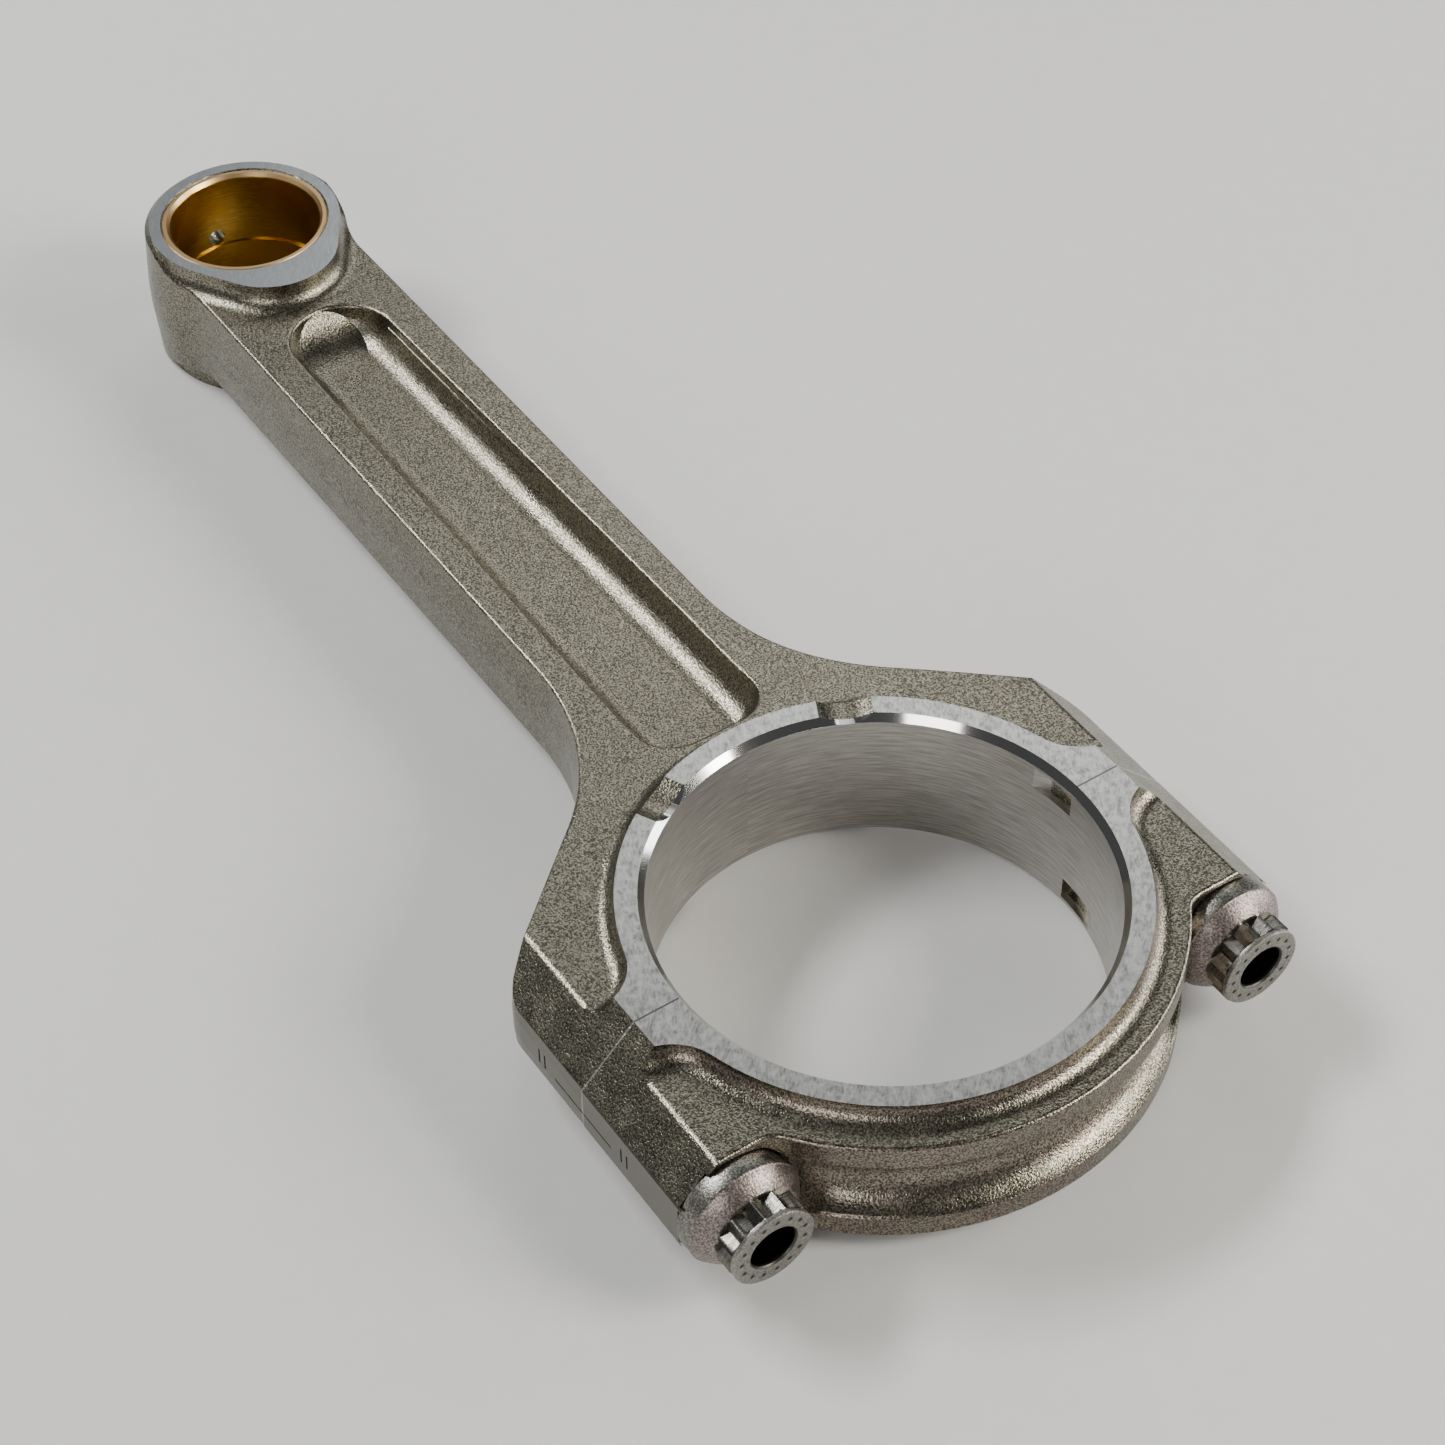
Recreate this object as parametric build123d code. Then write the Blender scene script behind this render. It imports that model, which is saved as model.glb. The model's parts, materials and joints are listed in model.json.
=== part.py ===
from build123d import *

"""Forged connecting rod with a bolted bearing cap and a bushed small end.

Millimetres. The origin is the centre of the big-end bore on the middle plane.
+Z runs along both bores, the small end lies towards -X, the bearing cap
towards +X, and the plane X = 0 is the joint between rod and cap.
The finished part is the same above and below the middle plane, except for the
two bearing locating slots.
"""
import os
from math import cos, radians, sin, sqrt, tan

os.makedirs("parts", exist_ok=True)

# ---- driving dimensions -------------------------------------------------
CENTRES = 159.2          # big-end centre to small-end centre
HALF_WIDTH = 10.7        # half the thrust width of both ends
BORE_R = 28.5            # big-end housing bore, bearing shells not fitted
BORE_FLARE = 0.8         # bore chamfer, measured across the thrust face
BORE_RISE = 1.0          # and down the bore
RING_R = 32.1            # outside of the ground thrust ring
PIN_R = 11.0             # piston-pin bore of the bush
BUSH_R = 12.15           # outside of the bush, an interference fit
EYE_R = 15.3             # forged outside of the small end at mid height
EYE_FACE_R = 14.0        # ground face of the small end

TOP_BEAM = 7.25          # half thickness over the beam
TOP_BIG = 8.3            # half thickness over the bolt bosses
LAND = 1.5               # half height of the forging's mid-height land
DRAFT = 4.0              # draft of the forged side walls, degrees
BEAM_HALF = 13.2         # half width of the beam at mid height

BOLT_Y = 35.7            # bolt axis to bore axis
BOSS_Y = 42.9            # side face of the bolt bosses
FACET_Y = 35.45          # where the 45 degree facet meets the thrust face
BOSS_END = 20.45         # end face of the cap bosses
SEAT_X = 19.9            # spot face under the bolt flange
SEAT_R = 7.8
FLANGE_R = 7.55          # flange of the bolt head
STAR_TIP = 5.72          # twelve-point head for a 10 mm socket
STAR_VALLEY = 4.75
SHANK_R = 4.45           # M9 bolt
TAPPED_R = 4.5
CAP_HOLE_R = 4.8
SLEEVE_R = 5.8           # hollow dowel round each bolt
SLEEVE_BORE_R = 4.85
SLEEVE_DEPTH = 5.0       # engagement of the sleeve in each half
SLIDE_FIT = 0.03         # radial play of the sleeve in the cap

CAP_R = 37.4             # outside of the cap ribs
CAP_CENTRE = -1.2
RIB_INNER_Z = 4.7        # half width of the channel between the ribs
CHANNEL_DEPTH = 3.4
EDGE_R = 0.5             # rounding that tumbling leaves on forged edges
RIDGE_R = 1.2            # rounding along the top of the 45 degree facets

WEB_HALF = 2.4           # half thickness of the web between the pockets
POCKET_TIP = -138.1
POCKET_END = -35.0
POCKET_R = 4.0           # large rounding at the foot of the pocket walls
LIP = 0.3                # bevel along the channel's two lips


# ---- small helpers ------------------------------------------------------
def both_sides(solid):
    """The solid together with its mirror image below the middle plane."""
    return solid + mirror(solid, about=Plane.XY)


def left_and_right(solid):
    """The solid together with its mirror image across the rod's axis."""
    return solid + mirror(solid, about=Plane.XZ)


def closed(points):
    return make_face(Polyline(*points, close=True))


def round_corner(sketch, x, y, radius):
    """Round the corner nearest to (x, y) and its twin at (x, -y)."""
    for target in (Vector(x, y, 0), Vector(x, -y, 0)):
        corner = min(sketch.vertices(), key=lambda v: (Vector(v) - target).length)
        sketch = fillet(corner, radius)
    return sketch


def x_cylinder(radius, x0, x1, y):
    """Cylinder along X from x0 to x1 at height zero."""
    return Pos((x0 + x1) / 2, y, 0) * Rot(0, 90, 0) * Cylinder(radius, abs(x1 - x0))


def halfspace(x0, x1):
    """Block that keeps everything between two X positions."""
    return Pos((x0 + x1) / 2, 0, 0) * Box(x1 - x0, 120, 60)


# ---- shared outlines ----------------------------------------------------
def ring_outline():
    """Thrust ring with the two flat-sided widenings at the joint."""
    half = 4.0
    side = FACET_Y + 3
    tip = closed([(-half, 0), (-half, side), (half, side), (half, 0)])
    outline = Circle(RING_R) + tip + mirror(tip, about=Plane.XZ)
    root = sqrt(RING_R**2 - half**2)
    for x in (-half, half):
        outline = round_corner(outline, x, root, 7.0)
    return outline


def eye_outline():
    """Small-end face: a circle drawn out towards the beam."""
    nose_x = 8.0
    nose_r = 9.8
    tilt = (EYE_FACE_R - nose_r) / nose_x
    up = sqrt(1 - tilt**2)
    cheek = closed([
        (0, 0),
        (EYE_FACE_R * tilt, EYE_FACE_R * up),
        (nose_x + nose_r * tilt, nose_r * up),
        (nose_x, 0),
    ])
    outline = Circle(EYE_FACE_R) + Pos(nose_x, 0) * Circle(nose_r)
    outline = outline + cheek + mirror(cheek, about=Plane.XZ)
    return Pos(-CENTRES, 0) * outline


def rod_outline():
    """Forged outline at mid height, run past the joint so it can be trimmed."""
    slope = 1.155
    shoulder_x = -32 + (BOSS_Y - 24.9) / slope
    waist_x = -32 + (BEAM_HALF - 24.9) / slope
    outline = closed([
        (30, -BOSS_Y), (30, BOSS_Y), (shoulder_x, BOSS_Y),
        (waist_x, BEAM_HALF), (-CENTRES, BEAM_HALF),
        (-CENTRES, -BEAM_HALF), (waist_x, -BEAM_HALF), (shoulder_x, -BOSS_Y),
    ])
    outline = round_corner(outline, shoulder_x, BOSS_Y, 6.0)
    outline = round_corner(outline, waist_x, BEAM_HALF, 34.0)
    outline = outline + Pos(-CENTRES, 0) * Circle(EYE_R)
    neck = -CENTRES + sqrt(EYE_R**2 - BEAM_HALF**2)
    return round_corner(outline, neck, BEAM_HALF, 14.0)


def pocket_outline():
    """Long pocket: full round towards the small end, square towards the big."""
    tip_r = 7.6
    tip_x = POCKET_TIP + tip_r
    wide = 8.75
    body = closed([
        (tip_x, -tip_r), (tip_x, tip_r), (-55, wide),
        (POCKET_END, wide), (POCKET_END, -wide), (-55, -wide),
    ])
    body = round_corner(body, POCKET_END, wide, 5.5)
    return body + Pos(tip_x, 0) * Circle(tip_r)


# ---- shared solids ------------------------------------------------------
def drafted(outline):
    """Outline with a vertical land at mid height and drafted walls above."""
    land = extrude(outline, amount=LAND)
    wall = extrude(Pos(0, 0, LAND) * outline, amount=HALF_WIDTH - LAND, taper=DRAFT)
    return both_sides(land + wall)


def side_slab(profile):
    """Slab from a closed outline in X and Z, wide enough for any part."""
    return extrude(Plane.XZ * profile, amount=60, both=True)


def coved_faces(slab, outlines, cove):
    """Ground faces standing on a slab, each with a concave cove at its foot."""
    faces = extrude(outlines, amount=HALF_WIDTH)
    body = slab + faces
    foot = [
        e for e in body.edges()
        if e.center().Z < HALF_WIDTH - 1 and e.center().Z > TOP_BEAM - 0.2
        and faces.distance_to(e) < 1e-4 and faces.distance_to(e.center()) < 0.5
    ]
    return both_sides(fillet(foot, cove))


def facet_cutter():
    """Wedges that cut the 45 degree facets along the bolt bosses."""
    reach = 20
    wedge = closed([
        (FACET_Y, HALF_WIDTH),
        (FACET_Y + reach, HALF_WIDTH - reach),
        (FACET_Y + reach, HALF_WIDTH + 5),
        (FACET_Y, HALF_WIDTH + 5),
    ])
    upper = extrude(Pos(-40, 0, 0) * (Plane.YZ * wedge), amount=90)
    return both_sides(left_and_right(upper))


def ridge_cutter(x0, x1):
    """Takes the sharp ridge off between the facets and the boss tops."""
    ridge_y = FACET_Y + HALF_WIDTH - TOP_BIG
    back = RIDGE_R * tan(radians(22.5))
    corner = closed([
        (ridge_y - back, TOP_BIG),
        (ridge_y + back / sqrt(2), TOP_BIG - back / sqrt(2)),
        (ridge_y + 0.1, TOP_BIG + 0.1),
    ])
    round_part = Pos(ridge_y - back, TOP_BIG - RIDGE_R) * Circle(RIDGE_R)
    strip = extrude(Pos(x0, 0, 0) * (Plane.YZ * (corner - round_part)), amount=x1 - x0)
    return both_sides(left_and_right(strip))


def bore_cutter(radius, flare, rise, x):
    """Bore through both thrust faces, widening by flare over the last rise."""
    lip = Cone(radius, radius + 2 * flare, 2 * rise)
    lip = Pos(x, 0, HALF_WIDTH) * lip
    return Pos(x, 0, 0) * Cylinder(radius, 40) + both_sides(lip)


def locating_slot(z):
    """Curved slot in the bore wall that a bearing shell's tang drops into."""
    radius = 10.0
    depth = 1.6
    return Pos(0, BORE_R + depth - radius, z) * Cylinder(radius, 3.4)


def match_marks(x0, x1, side):
    """Shallow tally marks that show which way round the cap goes."""
    depth = 0.15
    y = -BOSS_Y
    line = Pos(side * 3, y, -0.9) * Box(6, 2 * depth, 0.3)
    ticks = [Pos(side * x, y, 0) * Box(0.3, 2 * depth, 2.4) for x in (x0, x1)]
    return line + ticks[0] + ticks[1]


# ---- parts --------------------------------------------------------------
def rod_thickness():
    """Everything the rod's side view allows: beam, ramp, bosses, end faces."""
    ramp_start = -48.0
    ramp_end = -27.0
    ramp = Spline(
        (ramp_start, TOP_BEAM), (ramp_end, TOP_BIG), tangents=((1, 0), (1, 0))
    )
    rim = Polyline(
        (ramp_end, TOP_BIG), (60, TOP_BIG), (60, 0),
        (-190, 0), (-190, TOP_BEAM), (ramp_start, TOP_BEAM),
    )
    slab = side_slab(make_face(ramp + rim))
    return coved_faces(slab, ring_outline() + eye_outline(), 2.3)


def eye_collar():
    """Outer wall of the small end, running up to its face away from the beam."""
    half_section = closed([
        (0, 0), (EYE_R, 0), (EYE_R, LAND), (14.75, HALF_WIDTH - 0.65),
        (EYE_FACE_R + 0.05, HALF_WIDTH), (0, HALF_WIDTH),
    ])
    turned = revolve(Plane.XZ * half_section, axis=Axis.Z)
    slope = Spline((-4, HALF_WIDTH), (8, TOP_BEAM), tangents=((1, -0.2), (1, -0.05)))
    rim = Polyline(
        (8, TOP_BEAM), (30, TOP_BEAM), (30, 0), (-30, 0), (-30, HALF_WIDTH),
        (-4, HALF_WIDTH),
    )
    allowed = side_slab(make_face(slope + rim))
    return both_sides(Pos(-CENTRES, 0, 0) * (turned & allowed))


def pocket_cutter():
    """One pocket: drafted walls, rounded floor edge, ramped small end."""
    depth = TOP_BIG + 0.3 - WEB_HALF
    mouth = Pos(0, 0, TOP_BIG + 0.3) * pocket_outline()
    body = extrude(mouth, amount=-depth, taper=6)
    floor = body.faces().sort_by(Axis.Z)[0]
    body = fillet(floor.edges(), POCKET_R)
    ramp_r = 9.2
    ramp_x = POCKET_TIP + 8.1
    under = Pos(ramp_x - 15, 0, 0) * Box(30, 40, 30)
    hollow = Pos(ramp_x, 0, WEB_HALF + ramp_r) * Rot(90, 0, 0) * Cylinder(ramp_r, 40)
    above = Pos(ramp_x - 15, 0, WEB_HALF + ramp_r + 10) * Box(30, 40, 20)
    return body - (under - hollow - above)


def is_outer_rim(edge):
    """Top edge of the forged side walls, from the neck to the bolt boss."""
    x, y, z = edge.center()
    outside_ring = y**2 + x**2 > (RING_R + 4) ** 2
    height = TOP_BEAM - 0.05 < abs(z) < TOP_BIG + 0.1
    on_wall = abs(y) > BEAM_HALF - 0.5 and (abs(y) > 35 or x < -28.5 or outside_ring)
    return height and -148 < x < -5 and on_wall and edge.length > 4


def is_pocket_rim(edge):
    x, y, z = edge.center()
    height = TOP_BEAM - 0.05 < abs(z) < TOP_BIG - 0.05
    return height and POCKET_TIP - 1 < x < POCKET_END + 1 and abs(y) < 9.3


def rod_forging():
    body = drafted(rod_outline()) & rod_thickness()
    body = fillet([e for e in body.edges() if is_outer_rim(e)], EDGE_R)
    body = body + eye_collar()
    body = body - both_sides(pocket_cutter())
    body = fillet([e for e in body.edges() if is_pocket_rim(e)], EDGE_R)
    body = body - facet_cutter() - ridge_cutter(-30, -6.6)
    body = body & halfspace(-200, 0)
    body = body - bore_cutter(BORE_R, BORE_FLARE, BORE_RISE, 0)
    body = body - bore_cutter(BUSH_R, 0.25, 0.25, -CENTRES)
    body = body - locating_slot(7.5)
    tapped = x_cylinder(TAPPED_R, -40, 1, BOLT_Y)
    socket = x_cylinder(SLEEVE_R, -SLEEVE_DEPTH, 1, BOLT_Y)
    body = body - left_and_right(tapped + socket)
    body = body - oil_hole() - side_oil_grooves() - match_marks(8.2, 9.4, -1)
    return body


def oil_hole():
    """Drilling through the top of the small end, funnelled on the outside."""
    drill = x_cylinder(1.35, -CENTRES - 20, -CENTRES - 8, 0)
    funnel = Pos(-CENTRES - EYE_R, 0, 0) * Rot(0, -90, 0) * Cone(1.35, 3.0, 2.4)
    return drill + funnel


def side_oil_grooves():
    """Two shallow scallops across the thrust ring on each face."""
    radius = 6.1
    depth = 1.1
    turned = Pos(30, 0, HALF_WIDTH + radius - depth) * Rot(0, 90, 0) * Cylinder(radius, 9)
    pair = Rot(0, 0, 153) * turned + Rot(0, 0, -153) * turned
    return both_sides(pair)


def bearing_cap():
    blank = Pos((BOSS_END - 30) / 2, 0) * Rectangle(BOSS_END + 30, 2 * BOSS_Y)
    blank = blank + Pos(CAP_CENTRE, 0) * Circle(CAP_R)
    inner_y = sqrt(CAP_R**2 - (BOSS_END - CAP_CENTRE) ** 2)
    blank = round_corner(blank, BOSS_END, inner_y, 3.0)
    slab = extrude(blank, amount=TOP_BIG)
    slab = fillet(slab.edges().group_by(Axis.Z)[-1], EDGE_R)
    body = coved_faces(slab, ring_outline(), 2.3) & halfspace(0, 60)
    body = body - facet_cutter() - ridge_cutter(6.6, BOSS_END + 1)
    body = body - bore_cutter(BORE_R, BORE_FLARE, BORE_RISE, 0)
    body = body - locating_slot(-7.5)
    body = body - cap_channel()
    seat = x_cylinder(SEAT_R, SEAT_X, 60, BOLT_Y)
    hole = x_cylinder(CAP_HOLE_R, -1, 30, BOLT_Y)
    rim = Pos(SEAT_X, BOLT_Y, 0) * Rot(0, 90, 0) * Cone(CAP_HOLE_R, CAP_HOLE_R + 1.2, 2.4)
    socket = x_cylinder(SLEEVE_R + SLIDE_FIT, -1, SLEEVE_DEPTH, BOLT_Y)
    body = body - left_and_right(seat + hole + rim + socket)
    return body - match_marks(8.2, 9.4, 1)


def cap_channel():
    """Rounded channel round the outside of the cap, leaving two ribs."""
    minor = (RIB_INNER_Z**2 + CHANNEL_DEPTH**2) / (2 * CHANNEL_DEPTH)
    major = CAP_R - CHANNEL_DEPTH + minor
    ring = Torus(major, minor)
    lip = make_face(Plane.XZ * Polyline(
        (CAP_R - 1.5 * LIP, RIB_INNER_Z - LIP), (CAP_R + LIP, RIB_INNER_Z + 2 * LIP),
        (CAP_R + LIP, 0), (CAP_R - 1.5 * LIP, 0), close=True,
    ))
    bevel = both_sides(revolve(lip, axis=Axis.Z))
    return Pos(CAP_CENTRE, 0, 0) * (ring + bevel) & halfspace(BOSS_END, 80)


def small_end_bush():
    half = HALF_WIDTH - 0.1
    wall = closed([
        (PIN_R, 0), (PIN_R, half - 0.6), (PIN_R + 0.5, half),
        (BUSH_R - 0.15, half), (BUSH_R, half - 0.15), (BUSH_R, 0),
    ])
    groove = Pos(PIN_R, 0) * Rectangle(0.7, 3.1)
    section = wall + mirror(wall, about=Plane.XZ) - groove
    turned = revolve(Plane.XZ * section, axis=Axis.Z)
    drill = Pos(-12, 0, 0) * Rot(0, 90, 0) * Cylinder(1.35, 8)
    return Pos(-CENTRES, 0, 0) * (turned - drill)


def alignment_sleeve(side):
    length = 2 * SLEEVE_DEPTH - 0.4
    tube = Cylinder(SLEEVE_R, length) - Cylinder(SLEEVE_BORE_R, length)
    tube = chamfer(tube.edges(), 0.25)
    return Pos(0, side * BOLT_Y, 0) * Rot(0, 90, 0) * tube


def bolt_profile(end):
    """Half section of the bolt, with the flange's domed front as one arc."""
    front = SEAT_X + 2.9
    shank = Polyline(
        (-17.5, 0), (-17.5, 3.8), (-16.8, SHANK_R), (-5.5, SHANK_R), (-5.0, 3.9),
        (-3.9, 3.9), (-3.4, SHANK_R), (19.3, SHANK_R), (SEAT_X, 5.05),
        (SEAT_X, FLANGE_R - 0.3), (SEAT_X + 0.3, FLANGE_R),
        (front - 0.2, FLANGE_R), (front, FLANGE_R - 0.15),
    )
    dome = ThreePointArc((front, FLANGE_R - 0.15), (23.95, 6.65), (24.95, 5.7))
    head = Polyline(
        (24.95, 5.7), (25.1, STAR_VALLEY), (27.5, STAR_VALLEY), (27.8, 5.5), (end - 0.2, 5.5),
        (end, 5.3), (end, 3.35), (end - 0.3, 3.05), (end - 6.0, 3.05),
        (end - 7.2, 0), (-17.5, 0),
    )
    return make_face(shank + dome + head)


def cap_bolt(side, turn):
    """Flanged twelve-point bolt, drawn along +X at its fitted position."""
    end = 28.5
    body = revolve(bolt_profile(end), axis=Axis.X)
    star = Rot(0, 0, turn) * twelve_point(STAR_TIP, STAR_VALLEY)
    prism = extrude(Pos(22.6, 0, 0) * (Plane.YZ * star), amount=5.3)
    crown = closed([(20, 0), (20, 8), (26.5, 8), (29.3, 4.9), (29.3, 0)])
    hollow = x_cylinder(4.0, 20, 30, 0)
    points = (prism & revolve(crown, axis=Axis.X)) - hollow
    return Pos(0, side * BOLT_Y, 0) * (body + points)


def twelve_point(tip_r, valley_r):
    """Star with twelve slightly flattened points."""
    corners = []
    for i in range(12):
        a = radians(30 * i)
        for turn in (-1.6, 1.6):
            t = a + radians(turn)
            corners.append((tip_r * cos(t), tip_r * sin(t)))
        t = a + radians(15)
        corners.append((valley_r * cos(t), valley_r * sin(t)))
    return closed(corners)


PARTS = {
    "rod_forging": rod_forging(),
    "bearing_cap": bearing_cap(),
    "small_end_bush": small_end_bush(),
    "alignment_sleeve_left": alignment_sleeve(-1),
    "alignment_sleeve_right": alignment_sleeve(1),
    "cap_bolt_left": cap_bolt(-1, 9.3),
    "cap_bolt_right": cap_bolt(1, 12.7),
}

for name, solid in PARTS.items():
    export_step(solid, f"parts/{name}.step")
    box = solid.bounding_box()
    print(name, "solids", len(solid.solids()), "valid", solid.is_valid)
    print("   size", [round(v, 2) for v in box.size], "volume", round(solid.volume))
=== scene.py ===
# %% [markdown]
# # Finishing a forged connecting rod
# The shapes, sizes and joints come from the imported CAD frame, in metres. Its
# origin is the centre of the big bore, +Z runs along both bores, the small end
# lies towards -X and the bearing cap towards +X. What is left to do here is
# the light, the camera, the surface finishes and the two cap bolts, whose
# threads are too fine for the CAD solids.

# %% Load the frame
import json
from math import cos, pi, radians, sin, sqrt

import bmesh
import bpy
from mathutils import Matrix, Vector


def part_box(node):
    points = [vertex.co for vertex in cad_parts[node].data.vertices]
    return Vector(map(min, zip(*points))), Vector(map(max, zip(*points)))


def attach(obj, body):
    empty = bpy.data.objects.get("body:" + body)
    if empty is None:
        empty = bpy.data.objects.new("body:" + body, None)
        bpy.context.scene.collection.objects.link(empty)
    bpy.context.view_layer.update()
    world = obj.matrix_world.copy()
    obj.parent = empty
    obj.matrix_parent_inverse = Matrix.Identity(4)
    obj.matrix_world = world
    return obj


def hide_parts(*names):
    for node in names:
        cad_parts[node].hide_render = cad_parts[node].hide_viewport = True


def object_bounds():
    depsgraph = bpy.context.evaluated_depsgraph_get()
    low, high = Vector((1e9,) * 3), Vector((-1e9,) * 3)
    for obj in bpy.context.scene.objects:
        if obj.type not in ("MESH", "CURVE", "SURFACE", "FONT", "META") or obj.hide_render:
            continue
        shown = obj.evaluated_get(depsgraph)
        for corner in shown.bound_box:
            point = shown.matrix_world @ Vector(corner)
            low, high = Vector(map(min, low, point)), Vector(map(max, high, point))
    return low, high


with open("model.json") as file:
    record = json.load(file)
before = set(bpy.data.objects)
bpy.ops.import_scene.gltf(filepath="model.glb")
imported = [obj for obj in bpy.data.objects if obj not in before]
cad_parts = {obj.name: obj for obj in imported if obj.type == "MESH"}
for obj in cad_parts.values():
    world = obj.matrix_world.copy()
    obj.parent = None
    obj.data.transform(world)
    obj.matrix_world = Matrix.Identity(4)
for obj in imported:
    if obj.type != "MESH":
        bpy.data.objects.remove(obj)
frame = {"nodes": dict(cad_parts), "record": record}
cad_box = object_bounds()
nodes = frame["nodes"]
MM = 0.001
mounts = {mount["name"]: mount for mount in frame["record"]["mounts"]}
print("CAD nodes:", sorted(nodes))

# %% [markdown]
# ## Sizes read from the frame
# Every place below is worked out from these few values, so a change of the
# CAD model carries over. The thrust faces are the highest surfaces, and the
# two bores are the record's mounts.

# %% Sizes read from the frame
low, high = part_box("rod_forging")
FACE_Z = high.z
BOSS_Y = high.y
BORE_R = mounts["big_end_bore"]["dims"]["r_mm"] * MM
PIN_R = mounts["piston_pin_bore"]["dims"]["r_mm"] * MM
PIN_X = mounts["piston_pin_bore"]["pos_m"][0]
bolt_low, bolt_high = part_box("cap_bolt_right")
BOLT_Y = (bolt_low.y + bolt_high.y) / 2
BOLT_TIP, BOLT_END = bolt_low.x, bolt_high.x
print(f"face height {FACE_Z:.4f}, bolts at y {BOLT_Y:.4f}, bolt length {BOLT_END - BOLT_TIP:.4f}")

# %% [markdown]
# ## Camera
# A long lens a little under half a metre away keeps the two ends in a natural
# proportion. The camera is swung round the object by an azimuth and lifted by
# an elevation, and then tilted by a small roll, which is easier to read than
# three Euler angles.

# %% Camera
AZIMUTH, ELEVATION, ROLL = radians(56.0), radians(45.9), radians(-0.4)
TARGET = Vector((-0.0422, 0.0055, 0.0))
DISTANCE = 0.4107
LENS = 79.1

camera = bpy.data.objects.new("camera", bpy.data.cameras.new("camera"))
camera.data.lens = LENS
camera.data.clip_start = 0.01
swing = Matrix.Rotation(AZIMUTH, 4, "Z") @ Matrix.Rotation(pi / 2 - ELEVATION, 4, "X")
camera.matrix_world = (
    Matrix.Translation(TARGET) @ swing @ Matrix.Rotation(ROLL, 4, "Z")
    @ Matrix.Translation((0, 0, DISTANCE))
)
bpy.context.scene.collection.objects.link(camera)
bpy.context.scene.camera = camera
print("camera at", [round(v, 4) for v in camera.matrix_world.translation])

# %% [markdown]
# ## Light
# Bare metal has hardly any colour of its own: it shows what stands round it.
# In a studio it is therefore lit by a few large soft boxes with dark gaps
# between them, so that every rounding gets one bright and one dark band. Area
# lights do the same. Each is placed by the direction it shines from, as seen
# from the object. A flat face shows whatever lies in its mirror direction, so
# the narrow overhead box is for the foot of the pocket's wall, the back box
# for the flat top faces, the right and low boxes for the cap's coves, and the
# front box for the chamfer of the bore.

# %% Light
MIDDLE = Vector((-0.04, 0, 0))
WARM = (1, 0.96, 0.88)
FAINT_WARM = (1, 0.96, 0.94)


def soft_box(name, direction, distance, width, height, power, tint=(1, 1, 1)):
    """Area light that faces the object from a direction."""
    lamp = bpy.data.lights.new(name, "AREA")
    lamp.shape = "RECTANGLE"
    lamp.size, lamp.size_y = width, height
    lamp.energy = power
    lamp.color = tint
    holder = bpy.data.objects.new(name, lamp)
    back = Vector(direction).normalized()
    holder.location = MIDDLE + back * distance
    holder.rotation_mode = "QUATERNION"
    holder.rotation_quaternion = back.to_track_quat("Z", "Y")
    bpy.context.scene.collection.objects.link(holder)


soft_box("overhead_box", (-0.58, -0.36, 0.73), 0.9, 0.50, 0.16, 8.0)
soft_box("back_box", (-0.58, 0.52, 0.63), 1.0, 0.50, 0.40, 1.6)
soft_box("right_box", (0.62, 0.56, 0.50), 0.9, 0.30, 0.40, 8.5, WARM)
soft_box("low_box", (0.20, 0.94, 0.24), 0.9, 0.30, 0.50, 4.0)
soft_box("front_box", (0.50, -0.69, 0.45), 1.0, 0.35, 0.35, 3.0, FAINT_WARM)
world = bpy.data.worlds.new("studio")
world.use_nodes = True
background = world.node_tree.nodes["Background"]
background.inputs["Color"].default_value = (0.80, 0.82, 0.84, 1)
background.inputs["Strength"].default_value = 0.10
bpy.context.scene.world = world

# %% [markdown]
# ## Node helper
# A material is a network of nodes. Writing one by hand takes a line for each
# node, each setting and each link, so this helper makes a node, fills its
# sockets from values or links them from other nodes' outputs, and returns it.

# %% Node helper
def put(tree, kind, inputs=None, **settings):
    """A new node. Inputs are values, or output sockets to link from."""
    node = tree.nodes.new(kind)
    for key, value in settings.items():
        setattr(node, key, value)
    for key, value in (inputs or {}).items():
        socket = node.inputs[key]
        if isinstance(value, bpy.types.NodeSocket):
            tree.links.new(value, socket)
        else:
            socket.default_value = value
    return node


print("node helper ready")

# %% [markdown]
# ## Sums for every finish
# A finish is mixed by masks, numbers between 0 and 1 that say where each part
# of it shows. The few sums that this takes get a name each: a maths step, a
# soft step from 0 to 1, and blends of two colours or two numbers.

# %% Sums for every finish
def maths(tree, operation, a, b=0.0, c=0.0):
    """Output of a Math node."""
    return put(tree, "ShaderNodeMath", {0: a, 1: b, 2: c}, operation=operation).outputs[0]


def soft_step(tree, value, start, end):
    """0 below start, 1 above end and smooth between; start may be the larger."""
    node = put(
        tree, "ShaderNodeMapRange",
        {"Value": value, "From Min": start, "From Max": end},
        interpolation_type="SMOOTHSTEP",
    )
    return node.outputs["Result"]


def blend_colour(tree, factor, a, b):
    """Colour a where factor is 0 and b where it is 1."""
    node = put(tree, "ShaderNodeMix", data_type="RGBA")
    for name, value in (("Factor_Float", factor), ("A_Color", a), ("B_Color", b)):
        socket = next(s for s in node.inputs if s.identifier == name)
        if isinstance(value, bpy.types.NodeSocket):
            tree.links.new(value, socket)
        else:
            socket.default_value = (*value, 1) if isinstance(value, tuple) else value
    return next(s for s in node.outputs if s.identifier == "Result_Color")


def blend_value(tree, factor, a, b):
    """Number a where factor is 0 and b where it is 1."""
    node = put(tree, "ShaderNodeMix", {"Factor": factor, "A": a, "B": b}, data_type="FLOAT")
    return node.outputs["Result"]


print("sums ready")

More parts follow.
